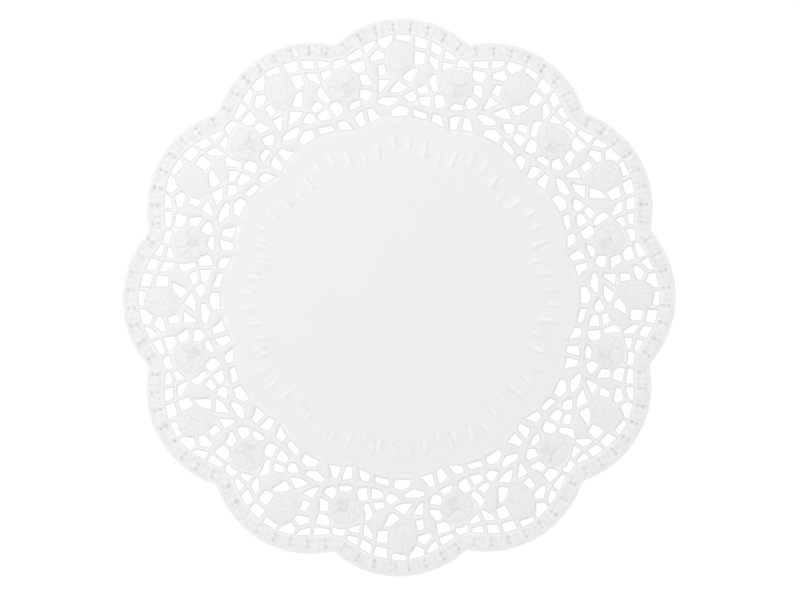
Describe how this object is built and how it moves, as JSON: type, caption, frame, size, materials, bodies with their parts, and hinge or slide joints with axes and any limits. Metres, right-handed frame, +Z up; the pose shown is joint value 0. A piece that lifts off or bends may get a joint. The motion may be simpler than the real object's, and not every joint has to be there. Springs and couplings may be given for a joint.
{
  "type": "paper doily",
  "caption": "Round white paper doily lying flat: plain centre, embossed lace ring with roses, leaves and vine, and a scalloped border, to line a cake plate or tray.",
  "frame": {"origin": "middle of the doily, on its underside", "axes": "+Z up out of the embossed face; +Y through the middle of one scallop; +X to the right of it"},
  "size_m": [0.36, 0.36, 0.001],
  "materials": {
    "paper": "matt, embossed"
  },
  "bodies": {
    "root": {"doily": "paper"}
  },
  "joints": []
}
